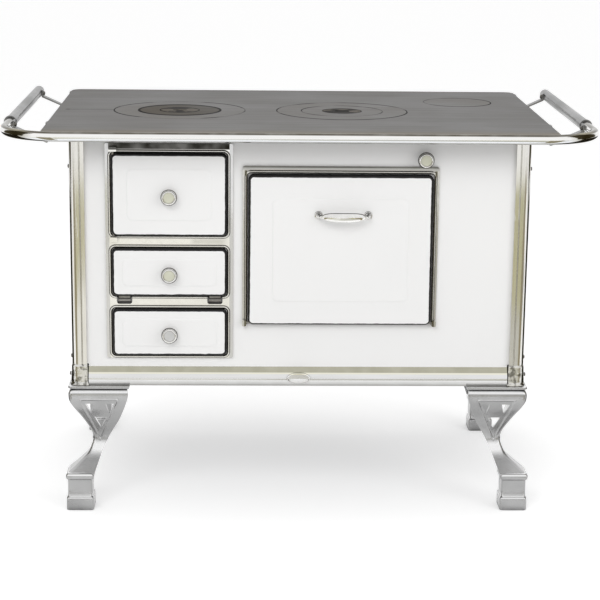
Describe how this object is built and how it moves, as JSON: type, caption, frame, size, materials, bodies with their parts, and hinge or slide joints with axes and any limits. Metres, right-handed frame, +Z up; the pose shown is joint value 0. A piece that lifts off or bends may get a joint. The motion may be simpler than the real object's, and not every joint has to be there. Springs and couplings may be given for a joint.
{
  "type": "wood cookstove",
  "caption": "Free-standing wood-burning cookstove with a railed iron cooking plate, nested lids, firebox door, draught flap, ash drawer, drop-down oven door and pierced cast legs.",
  "frame": {"origin": "on the floor, under the middle of the cooking plate's width and of the whole depth", "axes": "+Z up, the front with its doors towards -Y, +X to the right of a person who stands before it"},
  "size_m": [1.18, 0.728, 0.779],
  "materials": {
    "plate_iron": "machined",
    "lid_iron": "machined",
    "rail_chrome": "polished",
    "rail_steel": "satin",
    "bolt_steel": "plain",
    "post_chrome": "polished",
    "enamel": "glossy vitreous enamel",
    "skirt_steel": "polished",
    "frame_chrome": "polished",
    "knob_chrome": "polished",
    "inner_steel": "black enamel",
    "fire_iron": "as cast",
    "shelf_wire": "plated",
    "leg_paint": "silver paint"
  },
  "bodies": {
    "stove": {"top_plate": "plate_iron", "rail_front": "rail_chrome", "rail_corner_left": "rail_chrome", "rail_corner_right": "rail_chrome", "rail_side_left": "rail_steel", "rail_side_right": "rail_steel", "rail_straps": "rail_steel", "frame_bolts": "bolt_steel", "post_screws": "bolt_steel", "hinge_pins": "bolt_steel", "post_front_left": "post_chrome", "post_front_right": "post_chrome", "post_back_left": "post_chrome", "post_back_right": "post_chrome", "post_boots": "post_chrome", "front_panel": "enamel", "side_panel_left": "enamel", "side_panel_right": "enamel", "back_panel": "enamel", "skirt": "skirt_steel", "badge_plate": "skirt_steel", "column_frame": "frame_chrome", "oven_frame": "frame_chrome", "base_plate": "inner_steel", "top_frame": "inner_steel", "drawer_runners": "inner_steel", "flap_hinges": "inner_steel", "oven_box": "inner_steel", "smoke_shelf": "inner_steel", "damper_bush": "inner_steel", "ash_chute": "inner_steel", "firebox": "fire_iron", "grate": "fire_iron", "oven_shelf": "shelf_wire", "leg_front_left": "leg_paint", "leg_front_right": "leg_paint", "leg_back_left": "leg_paint", "leg_back_right": "leg_paint"},
    "firebox_door": {"fire_door": "enamel", "fire_door_liner": "inner_steel", "fire_door_knob": "knob_chrome"},
    "draught_door": {"draught_flap": "enamel", "draught_flap_liner": "inner_steel", "draught_flap_knob": "knob_chrome"},
    "ash_drawer": {"drawer_front": "enamel", "drawer_box": "inner_steel", "drawer_knob": "knob_chrome"},
    "oven_front": {"oven_door": "enamel", "oven_door_liner": "inner_steel", "oven_handle": "knob_chrome"},
    "damper": {"damper_plate": "inner_steel", "damper_rod": "inner_steel", "damper_knob": "knob_chrome"},
    "left_ring_large": {"left_outer_ring": "lid_iron"},
    "left_ring_small": {"left_inner_ring": "lid_iron"},
    "left_lid": {"left_cap": "lid_iron"},
    "middle_ring_large": {"middle_outer_ring": "lid_iron"},
    "middle_ring_small": {"middle_inner_ring": "lid_iron"},
    "middle_lid": {"middle_cap": "lid_iron"},
    "flue_lid": {"flue_cover": "lid_iron"}
  },
  "joints": [
    {"name": "firebox_door_hinge", "type": "hinge", "parent": "stove", "child": "firebox_door", "pos_m": [-0.3645, -0.2885, 0.6445], "axis": [0, 0, -1], "range_deg": [0, 110]},
    {"name": "draught_door_hinge", "type": "hinge", "parent": "stove", "child": "draught_door", "pos_m": [-0.256, -0.283, 0.433], "axis": [1, 0, 0], "range_deg": [0, 65]},
    {"name": "ash_drawer_slide", "type": "slide", "parent": "stove", "child": "ash_drawer", "axis": [0, -1, 0], "range_m": [0, 0.3]},
    {"name": "oven_door_hinge", "type": "hinge", "parent": "stove", "child": "oven_front", "pos_m": [0.079, -0.288, 0.389], "axis": [1, 0, 0], "range_deg": [0, 90]},
    {"name": "damper_slide", "type": "slide", "parent": "stove", "child": "damper", "axis": [0, -1, 0], "range_m": [0, 0.07]},
    {"name": "left_ring_large_lift", "type": "slide", "parent": "stove", "child": "left_ring_large", "axis": [0, 0, 1], "range_m": [0, 0.08]},
    {"name": "left_ring_small_lift", "type": "slide", "parent": "left_ring_large", "child": "left_ring_small", "axis": [0, 0, 1], "range_m": [0, 0.06]},
    {"name": "left_lid_lift", "type": "slide", "parent": "left_ring_small", "child": "left_lid", "axis": [0, 0, 1], "range_m": [0, 0.06]},
    {"name": "middle_ring_large_lift", "type": "slide", "parent": "stove", "child": "middle_ring_large", "axis": [0, 0, 1], "range_m": [0, 0.08]},
    {"name": "middle_ring_small_lift", "type": "slide", "parent": "middle_ring_large", "child": "middle_ring_small", "axis": [0, 0, 1], "range_m": [0, 0.06]},
    {"name": "middle_lid_lift", "type": "slide", "parent": "middle_ring_small", "child": "middle_lid", "axis": [0, 0, 1], "range_m": [0, 0.06]},
    {"name": "flue_lid_lift", "type": "slide", "parent": "stove", "child": "flue_lid", "axis": [0, 0, 1], "range_m": [0, 0.08]}
  ]
}
